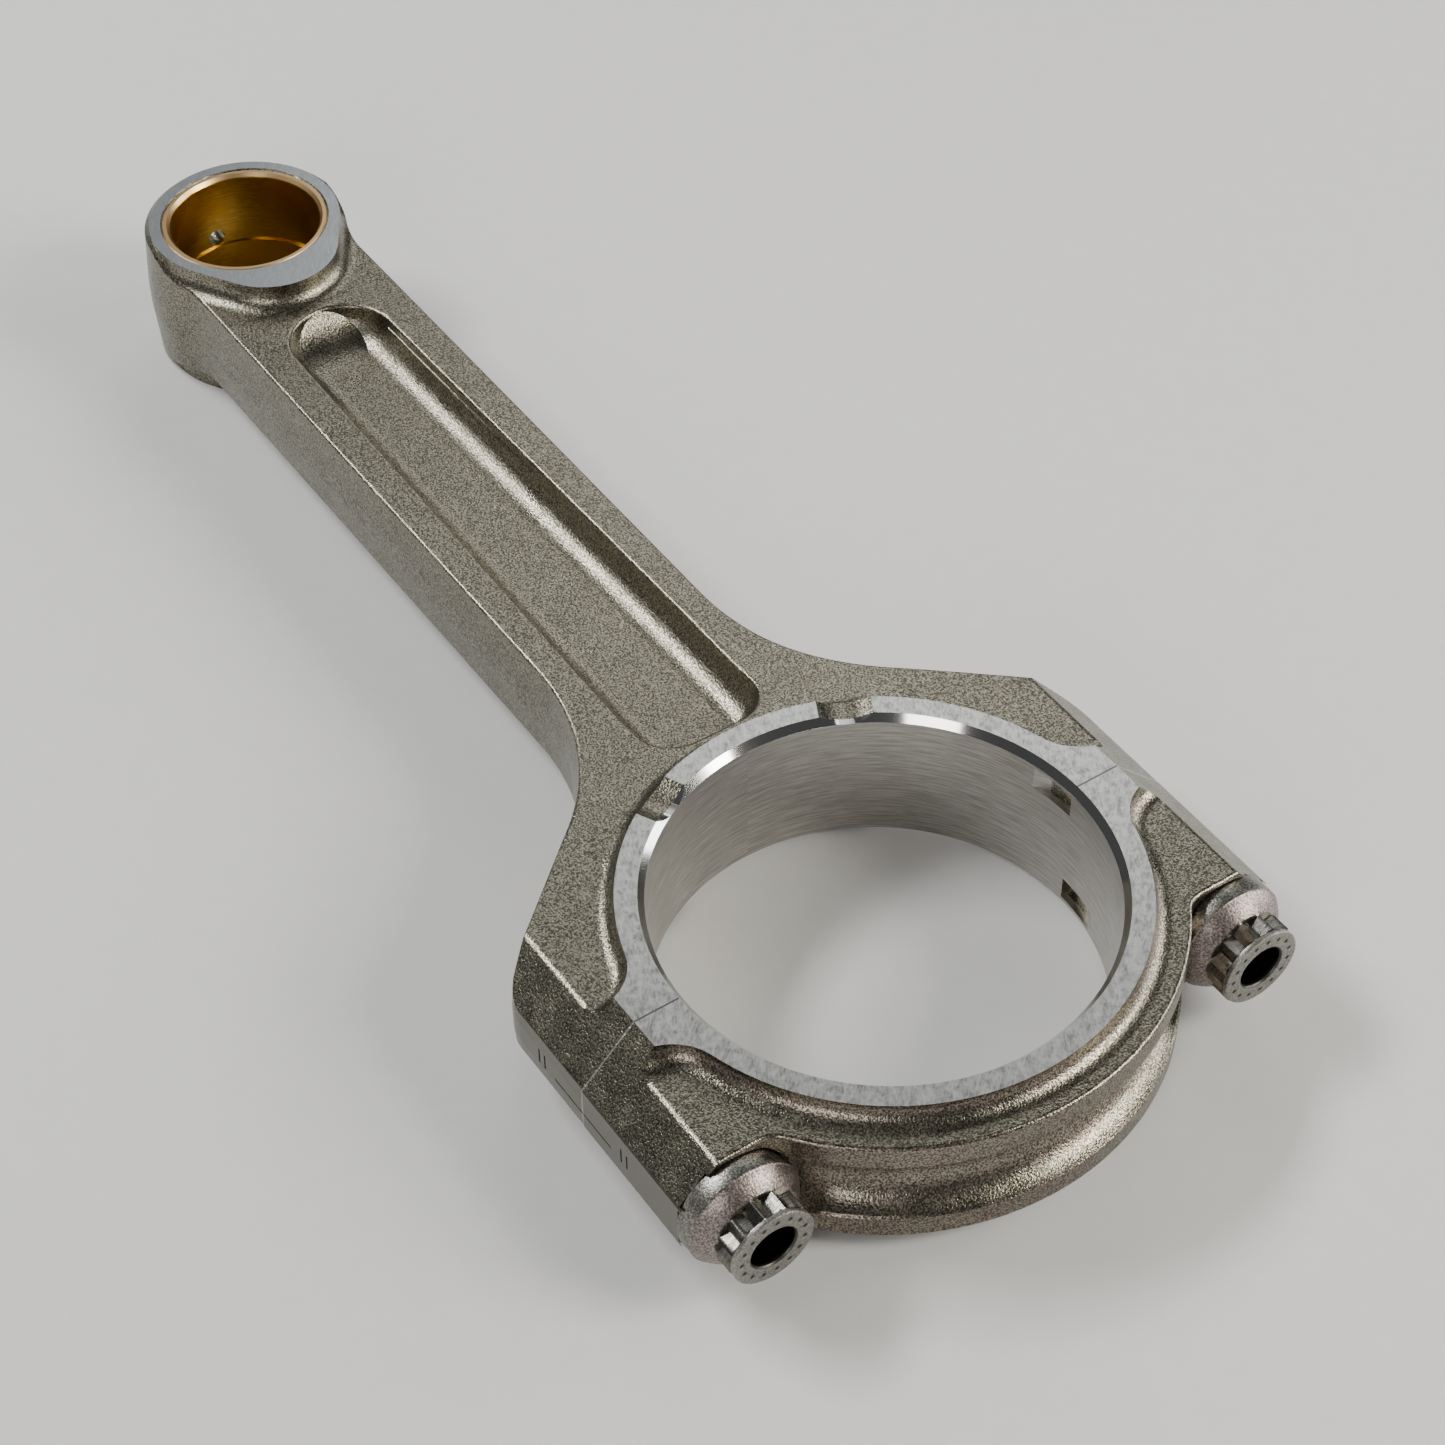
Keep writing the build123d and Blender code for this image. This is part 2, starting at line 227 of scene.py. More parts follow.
# %% [markdown]
# ## Groups and bare metal
# An effect that several finishes share is a node group with named inputs and
# outputs, built once. Every piece here is bare metal, so one helper starts a
# metal material and another leads colour, roughness and bump into its shader.

# %% Groups and bare metal
def new_group(name, inputs, outputs):
    """Empty node group with named sockets, and its input and output nodes."""
    group = bpy.data.node_groups.new(name, "ShaderNodeTree")
    kinds = {"value": "NodeSocketFloat", "vector": "NodeSocketVector", "colour": "NodeSocketColor"}
    for label, kind, start in inputs:
        socket = group.interface.new_socket(label, in_out="INPUT", socket_type=kinds[kind])
        if start is not None:
            socket.default_value = start
    for label, kind in outputs:
        group.interface.new_socket(label, in_out="OUTPUT", socket_type=kinds[kind])
    return group, group.nodes.new("NodeGroupInput"), group.nodes.new("NodeGroupOutput")


def use_group(tree, group, inputs):
    return put(tree, "ShaderNodeGroup", inputs, node_tree=group)


def bare_metal(name):
    """New metal material: itself, its node tree and the position on the object."""
    material = bpy.data.materials.new(name)
    material.use_nodes = True
    tree = material.node_tree
    tree.nodes["Principled BSDF"].inputs["Metallic"].default_value = 1.0
    return material, tree, put(tree, "ShaderNodeTexCoord").outputs["Object"]


def finish(tree, colour, roughness, height, depth):
    """Lead colour, roughness and a bump of the given depth into the shader."""
    bump = put(tree, "ShaderNodeBump", {"Height": height, "Strength": 1.0, "Distance": depth})
    shader = tree.nodes["Principled BSDF"]
    tree.links.new(colour, shader.inputs["Base Color"])
    tree.links.new(roughness, shader.inputs["Roughness"])
    tree.links.new(bump.outputs["Normal"], shader.inputs["Normal"])


print("group and metal helpers ready")

# %% [markdown]
# ## Shot-peened grain
# A forging that has been blasted with steel shot is covered with tiny
# overlapping dents, about a third of a millimetre across. Two noise textures
# make them: a fine one for the dents and a coarse one for the slight unevenness
# of the forging. The group hands out a height for a Bump node and a speckle
# that brightens the crests, where the metal sparkles.

# %% Shot-peened grain
def make_grain_group():
    group, start, end = new_group(
        "shot_peened_grain",
        [("Position", "vector", None), ("Dents per Metre", "value", 4050.0)],
        [("Height", "value"), ("Speckle", "value"), ("Mottle", "value")],
    )
    place = start.outputs["Position"]
    fine = put(group, "ShaderNodeTexNoise", {
        "Vector": place, "Scale": start.outputs["Dents per Metre"], "Detail": 1.5, "Roughness": 0.55,
    })
    coarse = put(group, "ShaderNodeTexNoise", {"Vector": place, "Scale": 260.0, "Detail": 2.0})
    height = maths(group, "MULTIPLY_ADD", coarse.outputs["Fac"], 0.8, fine.outputs["Fac"])
    group.links.new(height, end.inputs["Height"])
    group.links.new(soft_step(group, fine.outputs["Fac"], 0.36, 0.66), end.inputs["Speckle"])
    group.links.new(soft_step(group, coarse.outputs["Fac"], 0.3, 0.7), end.inputs["Mottle"])
    return group


grain_group = make_grain_group()
print("group:", grain_group.name)

# %% [markdown]
# ## Ground scratches
# A grinding wheel leaves short fine scratches that cross each other at small
# angles. A noise texture that is stretched along the cut looks like one set of
# them, so two stretched copies are turned against each other. An even noise
# adds the paler patches where the face has been wiped.

# %% Ground scratches
def make_scratch_group():
    group, start, end = new_group(
        "ground_scratches",
        [("Position", "vector", None), ("Turn", "value", 0.0)],
        [("Height", "value"), ("Streak", "value"), ("Blotch", "value")],
    )
    total = None
    for turn in (-0.18, 0.22):
        spun = put(group, "ShaderNodeVectorRotate", {
            "Vector": start.outputs["Position"],
            "Angle": maths(group, "ADD", start.outputs["Turn"], turn),
        }, rotation_type="Z_AXIS")
        drawn = put(group, "ShaderNodeVectorMath", {
            0: spun.outputs["Vector"], 1: (520.0, 3600.0, 900.0),
        }, operation="MULTIPLY")
        noise = put(group, "ShaderNodeTexNoise", {
            "Vector": drawn.outputs["Vector"], "Scale": 1.0, "Detail": 4.0, "Roughness": 0.7,
        })
        fac = noise.outputs["Fac"]
        total = fac if total is None else maths(group, "ADD", total, fac)
    half = maths(group, "MULTIPLY", total, 0.5)
    group.links.new(half, end.inputs["Height"])
    group.links.new(soft_step(group, half, 0.38, 0.62), end.inputs["Streak"])
    patches = put(group, "ShaderNodeTexNoise", {
        "Vector": start.outputs["Position"], "Scale": 850.0, "Detail": 5.0, "Roughness": 0.65,
    })
    group.links.new(soft_step(group, patches.outputs["Fac"], 0.36, 0.64), end.inputs["Blotch"])
    return group


scratch_group = make_scratch_group()
print("group:", scratch_group.name)

# %% [markdown]
# ## Turned lines
# A boring bar or hone leaves lines that run round the bore. They are stretched
# noise too, with the angle round the bore and the height along it in place of
# X and Y, so that they stay level all the way round.

# %% Turned lines
def make_turned_group():
    group, start, end = new_group(
        "turned_lines",
        [
            ("Position", "vector", None), ("Centre X", "value", 0.0),
            ("Lines per Metre", "value", 4200.0),
        ],
        [("Height", "value"), ("Streak", "value"), ("Radius", "value")],
    )
    xyz = put(group, "ShaderNodeSeparateXYZ", {0: start.outputs["Position"]})
    x = maths(group, "SUBTRACT", xyz.outputs["X"], start.outputs["Centre X"])
    y = xyz.outputs["Y"]
    angle = maths(group, "ARCTAN2", y, x)
    squares = maths(group, "MULTIPLY_ADD", x, x, maths(group, "MULTIPLY", y, y))
    radius = maths(group, "SQRT", squares)
    lines = maths(group, "MULTIPLY", xyz.outputs["Z"], start.outputs["Lines per Metre"])
    place = put(group, "ShaderNodeCombineXYZ", {
        "X": maths(group, "MULTIPLY", angle, 5.0), "Y": lines,
    })
    noise = put(group, "ShaderNodeTexNoise", {
        "Vector": place.outputs["Vector"], "Scale": 1.0, "Detail": 4.0, "Roughness": 0.72,
    })
    group.links.new(noise.outputs["Fac"], end.inputs["Height"])
    group.links.new(soft_step(group, noise.outputs["Fac"], 0.36, 0.64), end.inputs["Streak"])
    group.links.new(radius, end.inputs["Radius"])
    return group


turned_group = make_turned_group()
print("group:", turned_group.name)

# %% [markdown]
# ## Where each finish lies
# The rod and its cap come out of the forge and the blaster with a warm grey
# grain all over, and are then ground on the thrust faces, bored and honed, and
# drilled. A second object for each machined face would only leave seams, so one
# material carries all the finishes and chooses between them by place: a face at
# the full height that looks straight up is ground, and a surface within the big
# bore is honed, with a mirror-bright chamfer at its mouth.
#
# Three smaller things are chosen in the same way. The sides of the bolt bosses
# are a little smoother than the rest. The rod and cap are parted at x = 0, and
# the broken edges there show as a hairline. The hollows of the cap get a faint
# pink tint, a painted reflection of warm light.

# %% Where each finish lies
CHAMFER_R = BORE_R + 0.9 * MM
CHAMFER_Z = FACE_Z - 1.02 * MM
SEAM = 0.16 * MM
# Bounds of the cap's tilted faces that get a pink tint, a painted reflection of warm light.
WARM_REFLECTION_Y = (37.5 * MM, 34.5 * MM)
WARM_REFLECTION_X = (1.0 * MM, 7.0 * MM)


def forged_zones(tree, place):
    """Masks, 0 to 1, for every finish chosen by place and for a painted warm reflection."""
    xyz = put(tree, "ShaderNodeSeparateXYZ", {0: place})
    normal = put(tree, "ShaderNodeNewGeometry").outputs["Normal"]
    facing = put(tree, "ShaderNodeSeparateXYZ", {0: normal})
    turned = use_group(tree, turned_group, {"Position": place})
    height = maths(tree, "ABSOLUTE", xyz.outputs["Z"])
    width = maths(tree, "ABSOLUTE", xyz.outputs["Y"])
    up = maths(tree, "ABSOLUTE", facing.outputs["Z"])

    at_face = maths(tree, "GREATER_THAN", height, FACE_Z - 0.06 * MM)
    ground = maths(tree, "MULTIPLY", at_face, maths(tree, "GREATER_THAN", up, 0.98))
    in_bore = maths(tree, "LESS_THAN", turned.outputs["Radius"], CHAMFER_R)
    bore = maths(tree, "MULTIPLY", in_bore, maths(tree, "SUBTRACT", 1.0, ground))
    chamfer = maths(tree, "MULTIPLY", bore, maths(tree, "GREATER_THAN", height, CHAMFER_Z))
    side = soft_step(tree, width, BOSS_Y - 0.3 * MM, BOSS_Y - 0.05 * MM)

    seam = soft_step(tree, maths(tree, "ABSOLUTE", xyz.outputs["X"]), SEAM, 0.5 * SEAM)
    seam = maths(tree, "MULTIPLY", seam, maths(tree, "SUBTRACT", 1.0, bore))
    # Painted reflection: the cap's tilted faces within these bounds get a pink tint of warm light.
    hollow = soft_step(tree, up, 0.93, 0.55)
    painted_warm_reflection = maths(tree, "MULTIPLY", hollow, soft_step(tree, xyz.outputs["X"], *WARM_REFLECTION_X))
    painted_warm_reflection = maths(tree, "MULTIPLY", painted_warm_reflection, soft_step(tree, width, *WARM_REFLECTION_Y))
    small_end = soft_step(tree, xyz.outputs["X"], PIN_X / 2, PIN_X * 0.6)
    return {
        "ground": ground, "bore": bore, "chamfer": chamfer, "side": side,
        "seam": seam, "painted_warm_reflection": painted_warm_reflection, "small_end": small_end, "turned": turned,
    }


print(f"chamfer from radius {BORE_R:.4f} to {CHAMFER_R:.4f}, seam {2 * SEAM:.5f} wide")

# %% [markdown]
# ## Forged steel with machined faces
# Each finish is a pair of colours, blended by its own grain or scratches, and
# the masks lay one finish over another. Roughness and height are laid over each
# other in much the same order, so colour and texture change at the same line.

# %% Forged steel with machined faces
FORGED_DARK, FORGED = (0.085, 0.080, 0.058), (0.330, 0.310, 0.245)
# Pink tint for the cap's tilted faces, a painted reflection of warm light.
WARM_REFLECTION_DARK, WARM_REFLECTION = (0.080, 0.066, 0.054), (0.330, 0.275, 0.235)
GROUND_DARK, GROUND = (0.22, 0.225, 0.210), (0.50, 0.51, 0.485)
GROUND_BRIGHT = (0.66, 0.67, 0.64)
EYE_FACE_DARK, EYE_FACE = (0.36, 0.385, 0.395), (0.44, 0.47, 0.485)
HONED_DARK, HONED = (0.34, 0.325, 0.300), (0.56, 0.545, 0.51)
SMOOTH_SIDE = (0.190, 0.182, 0.152)
CHAMFER = (0.62, 0.62, 0.60)
SEAM_BRIGHT, SEAM_DARK = (0.55, 0.53, 0.46), (0.12, 0.12, 0.11)
PEEN_DEPTH = 0.062 * MM


def forged_colour(tree, zone, grain, scratch):
    speckle, mottle = grain.outputs["Speckle"], grain.outputs["Mottle"]
    streak = scratch.outputs["Streak"]
    forged = blend_colour(tree, speckle, FORGED_DARK, FORGED)
    # Painted reflection of warm light: a pink tint on the cap's tilted faces.
    reflection_colour = blend_colour(tree, speckle, WARM_REFLECTION_DARK, WARM_REFLECTION)
    share = maths(tree, "MULTIPLY", zone["painted_warm_reflection"], blend_value(tree, mottle, 0.4, 1.0))
    forged = blend_colour(tree, share, forged, reflection_colour)
    forged = blend_colour(tree, zone["side"], forged, SMOOTH_SIDE)

    patches = maths(tree, "MULTIPLY", scratch.outputs["Blotch"], 0.6)
    ground = blend_colour(tree, streak, GROUND_DARK, GROUND)
    ground = blend_colour(tree, patches, ground, GROUND_BRIGHT)
    eye = blend_colour(tree, streak, EYE_FACE_DARK, EYE_FACE)
    ground = blend_colour(tree, zone["small_end"], ground, eye)
    honed = blend_colour(tree, zone["turned"].outputs["Streak"], HONED_DARK, HONED)

    colour = blend_colour(tree, zone["bore"], forged, honed)
    colour = blend_colour(tree, zone["chamfer"], colour, CHAMFER)
    colour = blend_colour(tree, zone["ground"], colour, ground)
    hairline = blend_colour(tree, zone["ground"], SEAM_BRIGHT, SEAM_DARK)
    return blend_colour(tree, zone["seam"], colour, hairline)


def forged_roughness(tree, zone, grain):
    rough = blend_value(tree, grain.outputs["Mottle"], 0.27, 0.35)
    for name, value in (("side", 0.32), ("bore", 0.30), ("chamfer", 0.10), ("ground", 0.33)):
        rough = blend_value(tree, zone[name], rough, value)
    return rough


def forged_height(tree, zone, grain, scratch):
    """Peening outside, fine lines in the bore, scratches on the ground faces."""
    lines = maths(tree, "MULTIPLY", zone["turned"].outputs["Height"], 0.40)
    scratches = maths(tree, "MULTIPLY", scratch.outputs["Height"], 0.45)
    softened = blend_value(tree, zone["side"], 1.0, 0.6)
    height = maths(tree, "MULTIPLY", grain.outputs["Height"], softened)
    height = blend_value(tree, zone["bore"], height, lines)
    height = blend_value(tree, zone["chamfer"], height, 0.0)
    return blend_value(tree, zone["ground"], height, scratches)


def forged_material(name, scratch_turn):
    material, tree, place = bare_metal(name)
    zone = forged_zones(tree, place)
    grain = use_group(tree, grain_group, {"Position": place})
    scratch = use_group(tree, scratch_group, {"Position": place, "Turn": scratch_turn})
    finish(
        tree,
        forged_colour(tree, zone, grain, scratch),
        forged_roughness(tree, zone, grain),
        forged_height(tree, zone, grain, scratch),
        PEEN_DEPTH,
    )
    return material


def finish_node(node, material):
    """Give a CAD node a new material in each of its slots."""
    for slot in nodes[node].material_slots:
        slot.material = material
    print(f"{node}: {material.name}")


finish_node("rod_forging", forged_material("forged_rod_steel", 0.5))
finish_node("bearing_cap", forged_material("forged_cap_steel", 0.7))

# %% [markdown]
# ## Bronze bush
# The pin turns in a bush of bearing bronze. Its bore is finely bored and has
# gone a deep brownish gold, while the small chamfer at each end is freshly cut
# and paler. The same turned-line group serves, centred on the small end.

# %% Bronze bush
BRONZE_DARK, BRONZE = (0.40, 0.265, 0.050), (0.56, 0.385, 0.085)
BRONZE_RED = (0.50, 0.30, 0.050)
BRONZE_EDGE = (0.66, 0.45, 0.23)


def bronze_material():
    material, tree, place = bare_metal("bearing_bronze")
    turned = use_group(tree, turned_group, {
        "Position": place, "Centre X": PIN_X, "Lines per Metre": 3000.0,
    })
    cloud = put(tree, "ShaderNodeTexNoise", {"Vector": place, "Scale": 150.0, "Detail": 3.0})
    deep = blend_colour(tree, turned.outputs["Streak"], BRONZE_DARK, BRONZE)
    deep = blend_colour(tree, soft_step(tree, cloud.outputs["Fac"], 0.4, 0.65), deep, BRONZE_RED)
    xyz = put(tree, "ShaderNodeSeparateXYZ", {0: place})
    height = maths(tree, "ABSOLUTE", xyz.outputs["Z"])
    edge = soft_step(tree, turned.outputs["Radius"], PIN_R + 0.05 * MM, PIN_R + 0.15 * MM)
    edge = maths(tree, "MULTIPLY", edge, soft_step(tree, height, 9.0 * MM, 9.5 * MM))
    colour = blend_colour(tree, edge, deep, BRONZE_EDGE)
    rough = blend_value(tree, edge, 0.26, 0.34)
    finish(tree, colour, rough, turned.outputs["Height"], 0.010 * MM)
    return material


finish_node("small_end_bush", bronze_material())

# %% [markdown]
# ## Ground steel sleeves
# The hollow dowels round the bolts are hardened and ground. They are hidden
# until the cap comes away, and then show as two bright rings.

# %% Ground steel sleeves
def ground_steel(name, colour, roughness):
    material, tree, place = bare_metal(name)
    scratch = use_group(tree, scratch_group, {"Position": place, "Turn": pi / 2})
    streak = scratch.outputs["Streak"]
    dull = tuple(0.8 * c for c in colour)
    finish(
        tree,
        blend_colour(tree, streak, dull, colour),
        blend_value(tree, streak, roughness, roughness + 0.1),
        scratch.outputs["Height"],
        0.008 * MM,
    )
    return material


sleeve_steel = ground_steel("ground_sleeve_steel", (0.62, 0.63, 0.64), 0.22)
for side in ("left", "right"):
    finish_node(f"alignment_sleeve_{side}", sleeve_steel)

# %% [markdown]
# ## Sections of a cap bolt
# The bolts are turned and thread-rolled, so each is drawn as a radial grid:
# rows along the axis, and one radius for every angle in a row. In the head the
# radius is the larger of the body and a twelve-point star, and in the thread it
# follows a helix, which moves along by one pitch in every turn. The sizes, in
# millimetres, are those of the CAD bolt apart from a slightly slimmer plain
# shank, so the piece fills the space of the node that it replaces.

# %% Sections of a cap bolt
STEPS = 144
PITCH = 1.0
THREAD_R, ROOT_R, SHANK_R = 4.45, 3.86, 4.2
STAR_TIP, STAR_VALLEY = 5.72, 4.75
SEAT_X = 19.9
FLANGE_R = 7.55
RECESS_R = 3.05
END_X = 28.5
THREAD_FROM, THREAD_TO = -17.5, -5.2
THREAD_ROWS = 10
FILLET_X, RIM_X, DOME_X, NECK_X = 19.3, 22.6, 22.8, 24.95
DOME_ROWS = 15
COLLAR_X, COLLAR_R, COLLAR_EDGE_R = 27.9, 5.5, 5.3
FACE_ROWS = 13
DOTS, DOT_RING_R, DOT_R, DOT_DEPTH = 15, 4.35, 0.42, 0.16


def star_radius(angle, turn):
    """Radius of the twelve-point star, straight from each tip to its valley."""
    wave = radians(15)
    t = abs((angle - radians(turn) + wave) % (2 * wave) - wave)
    valley = (STAR_VALLEY * cos(wave), STAR_VALLEY * sin(wave))
    along = (valley[0] - STAR_TIP, valley[1])
    return STAR_TIP * valley[1] / (cos(t) * along[1] - sin(t) * along[0])


def thread_radius(x, angle):
    """Rolled thread with a flat crest and root, run out at both ends."""
    phase = (x / PITCH - angle / (2 * pi)) % 1.0
    wave = min(1.0, max(0.0, 2.3 * (1 - abs(2 * phase - 1)) - 0.55))
    end_r = min(3.75 + max(0.0, x - THREAD_FROM) * 0.9, THREAD_R)
    runout = min(1.0, max(0.0, (x - THREAD_TO + 1.2) / 1.2))
    root = ROOT_R + (3.9 - ROOT_R) * runout
    return min(root + (THREAD_R - root) * wave * (1 - runout), end_r)


def dome_radius(x):
    """Domed front of the flange, an arc through three points of the section."""
    a, b, c = (22.8, 7.4), (23.95, 6.65), (24.95, 5.7)
    share = [
        b[1] * (x - a[0]) * (x - c[0]) / ((b[0] - a[0]) * (b[0] - c[0])),
        a[1] * (x - b[0]) * (x - c[0]) / ((a[0] - b[0]) * (a[0] - c[0])),
        c[1] * (x - a[0]) * (x - b[0]) / ((c[0] - a[0]) * (c[0] - b[0])),
    ]
    return sum(share)


print(f"thread {2 * THREAD_R} by {PITCH} mm, {THREAD_TO - THREAD_FROM:.1f} mm long")

# %% [markdown]
# ## Rows of a cap bolt
# The rows run from the tip through thread, shank and flange to the end face,
# and lie close together where the shape curves. A plain row has the same radius
# all round. The end face and its recess are rows too, of a shrinking radius,
# and a ring of small round dots is pressed into the face.

# %% Rows of a cap bolt
def bolt_rows(turn):
    """Rows of the bolt from tip to end: (x, radius at an angle) pairs."""
    rows = [(THREAD_FROM, lambda a: 0.02), (THREAD_FROM, lambda a: 3.6)]
    count = int((THREAD_TO - THREAD_FROM) / PITCH * THREAD_ROWS)
    for i in range(count + 1):
        x = THREAD_FROM + (THREAD_TO - THREAD_FROM) * i / count
        rows.append((x, lambda a, x=x: thread_radius(x, a)))
    for x, r in (
        (-5.0, 3.9), (-3.9, 3.9), (-3.4, SHANK_R), (FILLET_X, SHANK_R), (SEAT_X, 5.05),
        (SEAT_X, FLANGE_R - 0.3), (SEAT_X + 0.09, FLANGE_R - 0.09), (SEAT_X + 0.3, FLANGE_R),
        (RIM_X, FLANGE_R), (RIM_X + 0.12, FLANGE_R - 0.04),
    ):
        rows.append((x, lambda a, r=r: r))
    for i in range(DOME_ROWS):
        x = DOME_X + (NECK_X - DOME_X) * i / (DOME_ROWS - 1)
        rows.append((x, lambda a, x=x: max(dome_radius(x), star_radius(a, turn))))
    for x, r in (
        (NECK_X + 0.15, STAR_VALLEY), (COLLAR_X - 0.4, STAR_VALLEY),
        (COLLAR_X - 0.16, COLLAR_R - 0.1), (COLLAR_X - 0.08, COLLAR_R),
    ):
        rows.append((x, lambda a, r=r: max(r, star_radius(a, turn))))
    rows.append((COLLAR_X, lambda a: max(COLLAR_R, star_radius(a, turn) - 0.07)))
    for x, r in (
        (COLLAR_X + 0.01, COLLAR_R), (END_X - 0.2, COLLAR_R),
        (END_X - 0.06, COLLAR_R - 0.06), (END_X, COLLAR_EDGE_R),
    ):
        rows.append((x, lambda a, r=r: r))
    return rows


def end_mark(radius, angle):
    """Depth of the ring of small round dots stamped in the end face."""
    spacing = 2 * pi / DOTS
    across = (angle % spacing - spacing / 2) * radius
    off = sqrt(across ** 2 + (radius - DOT_RING_R) ** 2)
    return DOT_DEPTH * max(0.0, 1 - (off / DOT_R) ** 2)


def bolt_grid(turn):
    """Rows of vertices round the axis, ready to be joined into quads."""
    angles = [2 * pi * i / STEPS for i in range(STEPS)]
    grid = []
    for x, radius in bolt_rows(turn):
        grid.append([(x, radius(a), a) for a in angles])
    recess_edge = RECESS_R + 0.3
    for i in range(1, FACE_ROWS + 1):
        r = COLLAR_EDGE_R - (COLLAR_EDGE_R - recess_edge) * i / FACE_ROWS
        grid.append([(END_X - end_mark(r, a), r, a) for a in angles])
    for x, r in (
        (END_X - 0.1, 3.17), (END_X - 0.3, RECESS_R),
        (END_X - 6.0, RECESS_R), (END_X - 7.2, 0.02),
    ):
        grid.append([(x, r, a) for a in angles])
    return grid


print("rows in a bolt:", len(bolt_grid(0)))

# %% [markdown]
# ## Cap bolts
# Neighbouring rows are joined by quads, and a flat face closes each end, so the
# mesh has no gaps. Edges sharper than 28 degrees are shaded as edges, which
# keeps the points of the head crisp and leaves everything else smooth.

# %% Cap bolts
def make_bolt(side, turn):
    name = "left" if side < 0 else "right"
    mesh = bpy.data.meshes.new(f"bolt_{name}")
    build = bmesh.new()
    rows = []
    for row in bolt_grid(turn):
        rows.append([
            build.verts.new((x * MM, side * BOLT_Y + r * cos(a) * MM, r * sin(a) * MM))
            for x, r, a in row
        ])
    for lower, upper in zip(rows, rows[1:]):
        for i in range(STEPS):
            j = (i + 1) % STEPS
            build.faces.new((lower[i], lower[j], upper[j], upper[i]))
    build.faces.new(rows[0][::-1])
    build.faces.new(rows[-1])
    bmesh.ops.recalc_face_normals(build, faces=build.faces)
    for face in build.faces:
        face.smooth = True
    build.to_mesh(mesh)
    build.free()
    mesh.set_sharp_from_angle(angle=radians(28))
    bolt = bpy.data.objects.new(f"cap_bolt_{name}_threaded", mesh)
    bpy.context.scene.collection.objects.link(bolt)
    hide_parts(f"cap_bolt_{name}")
    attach(bolt, f"bolt_{name}")
    return bolt


bolts = [make_bolt(-1, 9.3), make_bolt(1, 12.7)]
print("bolts:", [(b.name, len(b.data.polygons)) for b in bolts])

# %% [markdown]
# ## Bolt steel
# Heat treatment leaves the shank and the domed flange slightly grainy, and a
# little pink is painted into them as a reflection of warm light. The wrenching
# faces are satin, and the end face is a plain grey. The recess in the end and
# the stamped dots are painted dark as shade. The finishes follow one another
# along the bolt, so the distance along its axis is enough to choose between them.

# %% Bolt steel
# The dome colours hold a pink tint, a painted reflection of warm light.
DOME_WITH_WARM_REFLECTION_DARK, DOME_WITH_WARM_REFLECTION = (0.13, 0.108, 0.100), (0.36, 0.305, 0.285)
BAND_DARK, BAND = (0.12, 0.117, 0.100), (0.34, 0.332, 0.295)
SATIN_DARK, SATIN = (0.11, 0.107, 0.094), (0.21, 0.204, 0.181)
END_DARK, END = (0.20, 0.195, 0.175), (0.36, 0.35, 0.325)
# Painted shade inside the recess in the end of the bolt.
RECESS_SHADE = (0.07, 0.068, 0.062)
# Painted shade in the stamped dots of the end face.
DOT_SHADE = (0.06, 0.058, 0.05)


def bolt_zones(tree, place):
    """Masks, 0 to 1, for the finishes along a bolt and for painted shade in its recess and dots."""
    xyz = put(tree, "ShaderNodeSeparateXYZ", {0: place})
    x, z = xyz.outputs["X"], xyz.outputs["Z"]
    y = maths(tree, "SUBTRACT", maths(tree, "ABSOLUTE", xyz.outputs["Y"]), BOLT_Y)
    squares = maths(tree, "MULTIPLY_ADD", y, y, maths(tree, "MULTIPLY", z, z))
    radius = maths(tree, "SQRT", squares)
    star = soft_step(tree, x, 24.9 * MM, 25.1 * MM)
    end = soft_step(tree, x, 27.86 * MM, 27.95 * MM)
    recess = maths(tree, "MULTIPLY", soft_step(tree, radius, 3.35 * MM, 3.15 * MM), star)
    rim = maths(
        tree, "MULTIPLY",
        soft_step(tree, radius, 7.46 * MM, 7.52 * MM),
        soft_step(tree, x, SEAT_X * MM, (SEAT_X + 0.1) * MM),
    )
    dot = soft_step(tree, x, (END_X - 0.03) * MM, (END_X - 0.10) * MM)
    dot = maths(tree, "MULTIPLY", end, dot)
    dot = maths(tree, "MULTIPLY", dot, soft_step(tree, radius, 5.1 * MM, 5.0 * MM))
    return {"star": star, "end": end, "recess": recess, "rim": rim, "dot": dot}


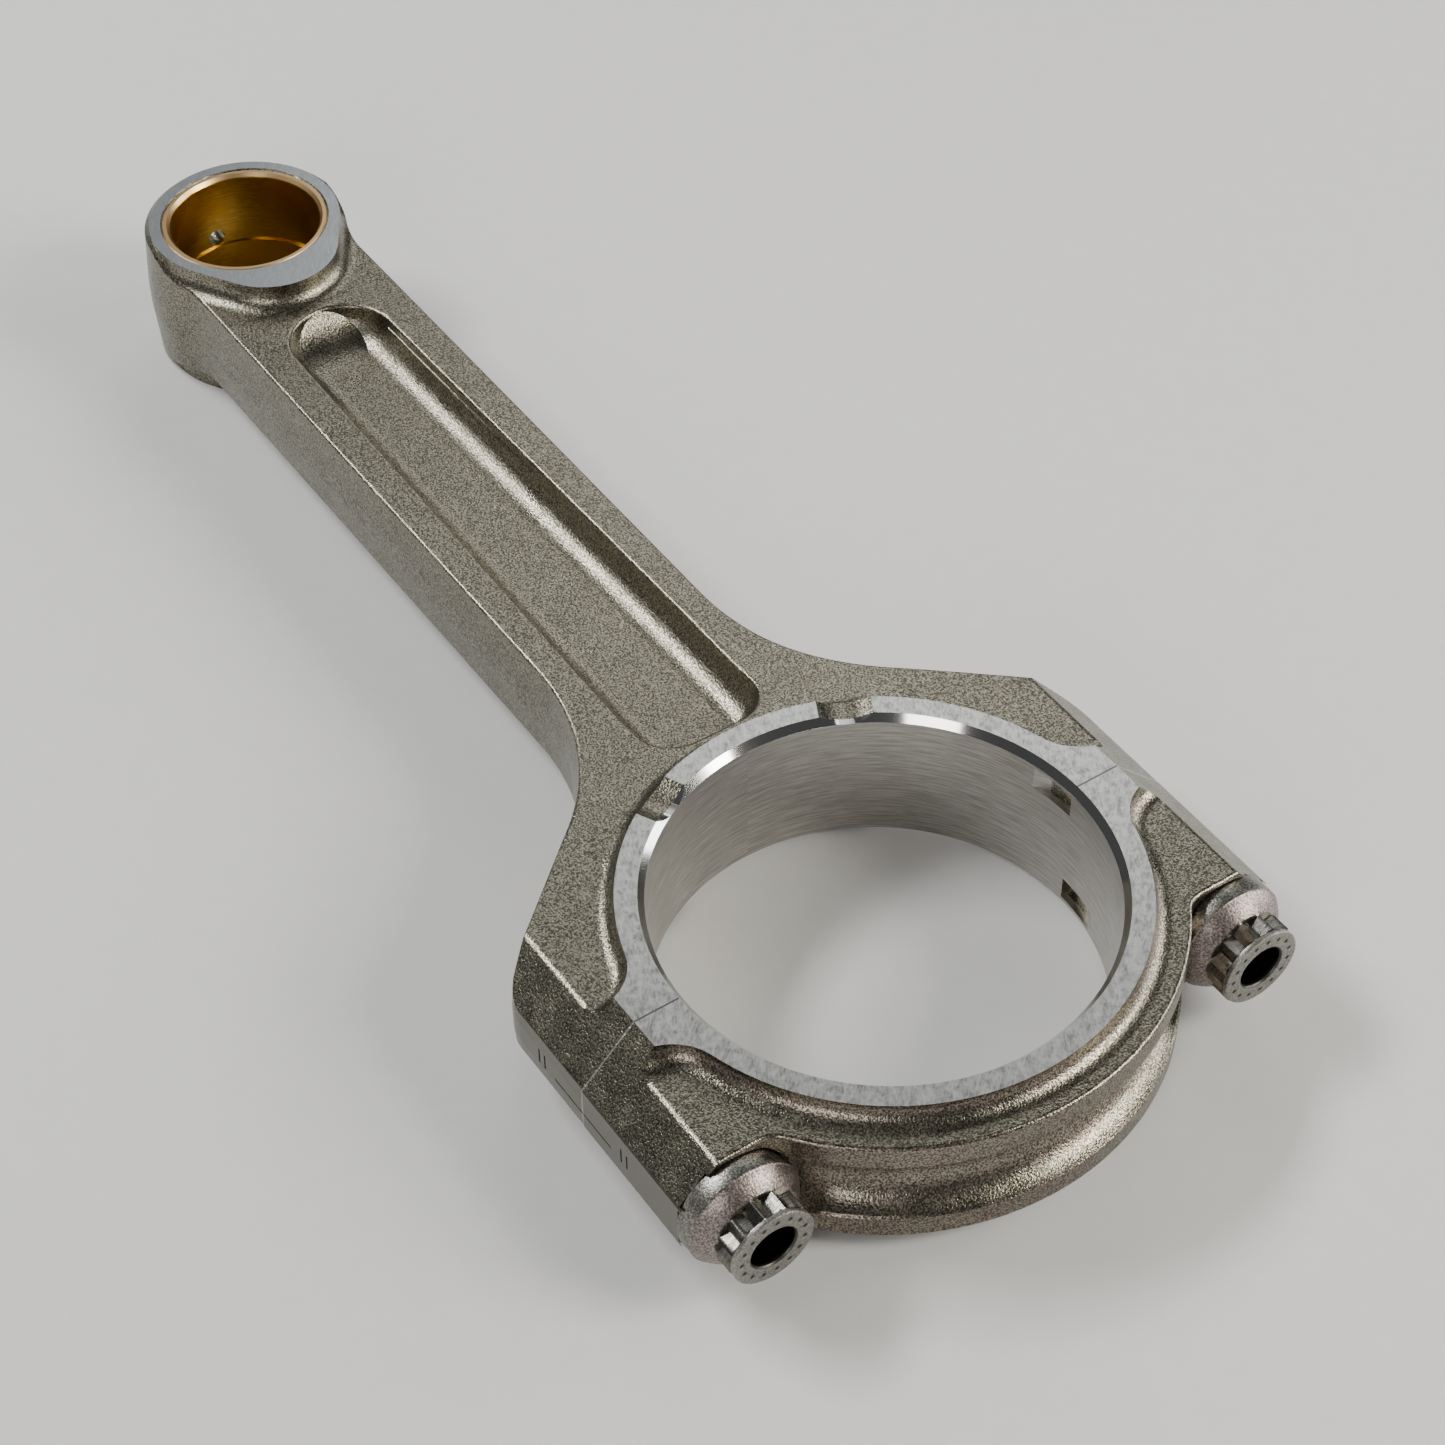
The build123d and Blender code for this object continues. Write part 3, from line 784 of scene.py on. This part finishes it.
def bolt_material():
    material, tree, place = bare_metal("bolt_steel")
    zone = bolt_zones(tree, place)
    grain = use_group(tree, grain_group, {"Position": place, "Dents per Metre": 4200.0})
    scratch = use_group(tree, scratch_group, {"Position": place, "Turn": pi / 2})
    speckle = grain.outputs["Speckle"]
    # Painted reflection: the pink in the dome colours stands for warm light.
    colour = blend_colour(
        tree, zone["rim"],
        blend_colour(tree, speckle, DOME_WITH_WARM_REFLECTION_DARK, DOME_WITH_WARM_REFLECTION),
        blend_colour(tree, speckle, BAND_DARK, BAND),
    )
    satin = blend_colour(tree, scratch.outputs["Streak"], SATIN_DARK, SATIN)
    colour = blend_colour(tree, zone["star"], colour, satin)
    colour = blend_colour(tree, zone["end"], colour, blend_colour(tree, speckle, END_DARK, END))
    # Painted shade: the stamped dots are coloured dark.
    colour = blend_colour(tree, zone["dot"], colour, DOT_SHADE)
    # Painted shade: the recess is coloured nearly black.
    colour = blend_colour(tree, zone["recess"], colour, RECESS_SHADE)
    rough = blend_value(tree, grain.outputs["Mottle"], 0.38, 0.48)
    for name, value in (("rim", 0.36), ("star", 0.24), ("end", 0.42)):
        rough = blend_value(tree, zone[name], rough, value)
    height = blend_value(tree, zone["star"], grain.outputs["Height"], scratch.outputs["Height"])
    finish(tree, colour, rough, height, 0.040 * MM)
    return material


steel = bolt_material()
for bolt in bolts:
    bolt.data.materials.append(steel)
print("bolts finished in", steel.name)

# %% [markdown]
# ## Floor
# A pale sheet just under the part catches a soft shadow. It is only the stage,
# and it gets a faint paper grain to look like a surface and not like a void.

# %% Floor
def make_floor(height, half=1.5):
    mesh = bpy.data.meshes.new("studio_floor")
    edge = [(-half, -half), (half, -half), (half, half), (-half, half)]
    mesh.from_pydata([(x, y, height) for x, y in edge], [], [(0, 1, 2, 3)])
    floor = bpy.data.objects.new("studio_floor", mesh)
    bpy.context.scene.collection.objects.link(floor)
    material = bpy.data.materials.new("pale_paper")
    material.use_nodes = True
    tree = material.node_tree
    shader = tree.nodes["Principled BSDF"]
    shader.inputs["Roughness"].default_value = 0.85
    place = put(tree, "ShaderNodeTexCoord").outputs["Object"]
    noise = put(tree, "ShaderNodeTexNoise", {"Vector": place, "Scale": 300.0, "Detail": 5.0})
    pale = blend_colour(tree, noise.outputs["Fac"], (0.60, 0.60, 0.59), (0.64, 0.64, 0.63))
    tree.links.new(pale, shader.inputs["Base Color"])
    mesh.materials.append(material)


make_floor(cad_box[0].z)
print("floor at", round(cad_box[0].z, 4))
